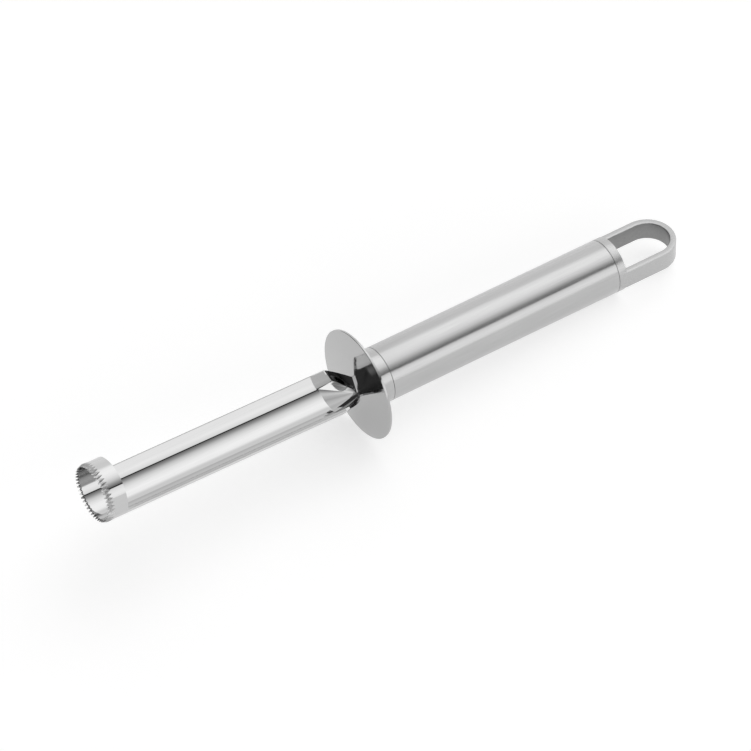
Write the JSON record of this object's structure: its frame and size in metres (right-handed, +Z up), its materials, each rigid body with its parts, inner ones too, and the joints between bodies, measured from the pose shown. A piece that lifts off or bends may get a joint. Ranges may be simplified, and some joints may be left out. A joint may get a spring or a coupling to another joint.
{
  "type": "apple corer",
  "caption": "Steel apple corer: toothed coring ring on an open trough blade, round guard disc, hollow round handle and a flat hanging loop.",
  "frame": {"origin": "on the surface that the tool lies on, under the middle of its length and width", "axes": "+X along the tool from the toothed tip to the hanging loop, +Y to the left, +Z up; at rest the handle leans down towards the loop and the blade's open side is up"},
  "size_m": [0.236, 0.0404, 0.0484],
  "materials": {
    "blade_steel": "mirror-polished stainless steel sheet",
    "disc_steel": "mirror-polished stainless steel plate",
    "handle_steel": "stainless steel brushed along the handle",
    "cap_steel": "fine satin stainless steel",
    "pin_steel": "plain drawn steel",
    "insert_plastic": "dark moulded plastic",
    "seal_rubber": "black seal rubber"
  },
  "bodies": {
    "root": {"corer_blade": "blade_steel", "guard_disc": "disc_steel", "front_ferrule": "handle_steel", "front_seal_ring": "seal_rubber", "handle_tube": "handle_steel", "tang_insert_left": "insert_plastic", "tang_insert_right": "insert_plastic", "tang_pin": "pin_steel", "rear_seal_ring": "seal_rubber", "loop_end_cap": "cap_steel"}
  },
  "joints": []
}
